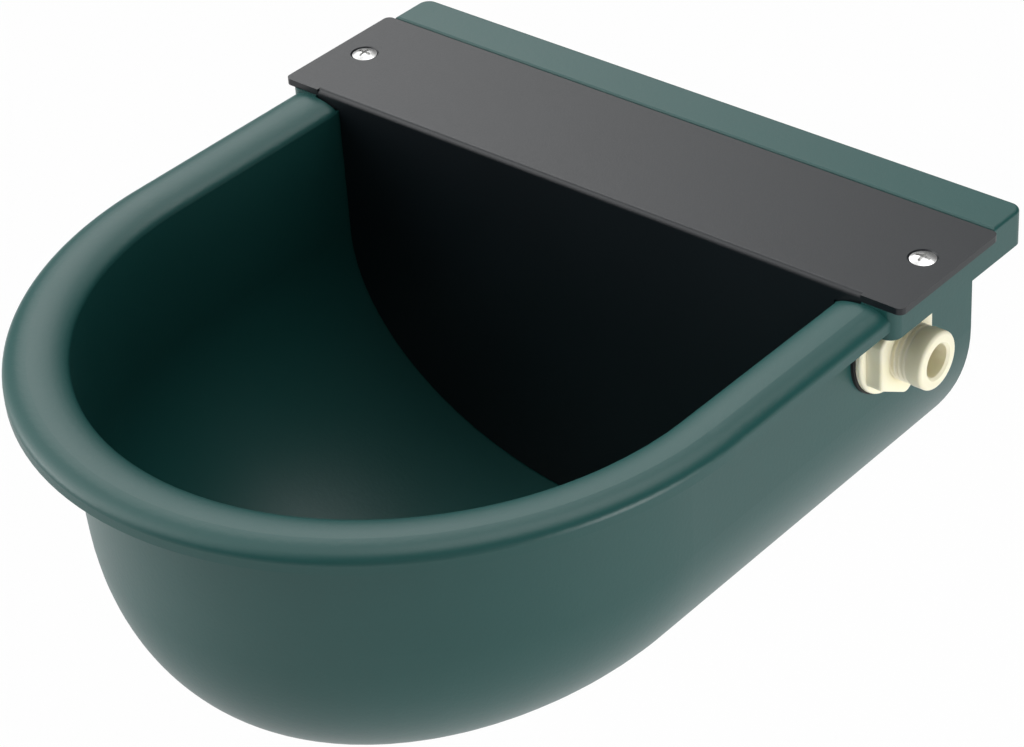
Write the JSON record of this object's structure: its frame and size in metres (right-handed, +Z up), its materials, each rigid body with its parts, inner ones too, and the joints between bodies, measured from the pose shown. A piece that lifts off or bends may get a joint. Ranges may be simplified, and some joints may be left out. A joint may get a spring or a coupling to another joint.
{
  "type": "livestock drinking bowl",
  "caption": "Wall-hung drinking bowl for livestock: a deep rounded bowl with a rolled rim, and a float valve under a screwed, folded cover at the back.",
  "frame": {"origin": "centre of the two wall bolts, on the bowl's flat back", "axes": "+X along the cover towards the water inlet, +Y into the wall, +Z up"},
  "size_m": [0.27, 0.2967, 0.1375],
  "materials": {
    "green_plastic": "satin moulded green plastic",
    "black_plastic": "satin black plastic",
    "ivory_plastic": "moulded ivory plastic",
    "screw_steel": "bright stainless steel",
    "brass": "turned brass",
    "rubber": "black rubber",
    "float_plastic": "blow-moulded white plastic"
  },
  "bodies": {
    "bowl": {"bowl_shell": "green_plastic", "cover_plate": "black_plastic", "cover_screws": "screw_steel", "cover_screw_inserts": "brass", "valve_body": "ivory_plastic", "inlet_lock_nut": "ivory_plastic", "inner_gasket": "rubber", "outer_washer": "rubber", "valve_nozzle": "brass", "nozzle_seal": "rubber", "valve_end_cap": "ivory_plastic", "lever_pin": "screw_steel", "pin_clip": "screw_steel"},
    "float_arm": {"float_lever": "ivory_plastic", "float_rod": "brass", "rod_lock_nut": "brass", "float_lock_nut": "brass", "float_cap": "float_plastic", "float_body": "float_plastic"},
    "plunger_body": {"plunger": "ivory_plastic", "plunger_washer": "rubber"}
  },
  "joints": [
    {"name": "float_swing", "type": "hinge", "parent": "bowl", "child": "float_arm", "pos_m": [0.074, -0.0539, -0.0209], "axis": [0, 1, 0], "range_deg": [0, 20]},
    {"name": "plunger_slide", "type": "slide", "parent": "bowl", "child": "plunger_body", "axis": [1, 0, 0], "range_m": [0, 0.00384]}
  ],
  "couplings": [
    {"joint": "plunger_slide", "follows": "float_swing", "m_per_rad": 0.011}
  ]
}
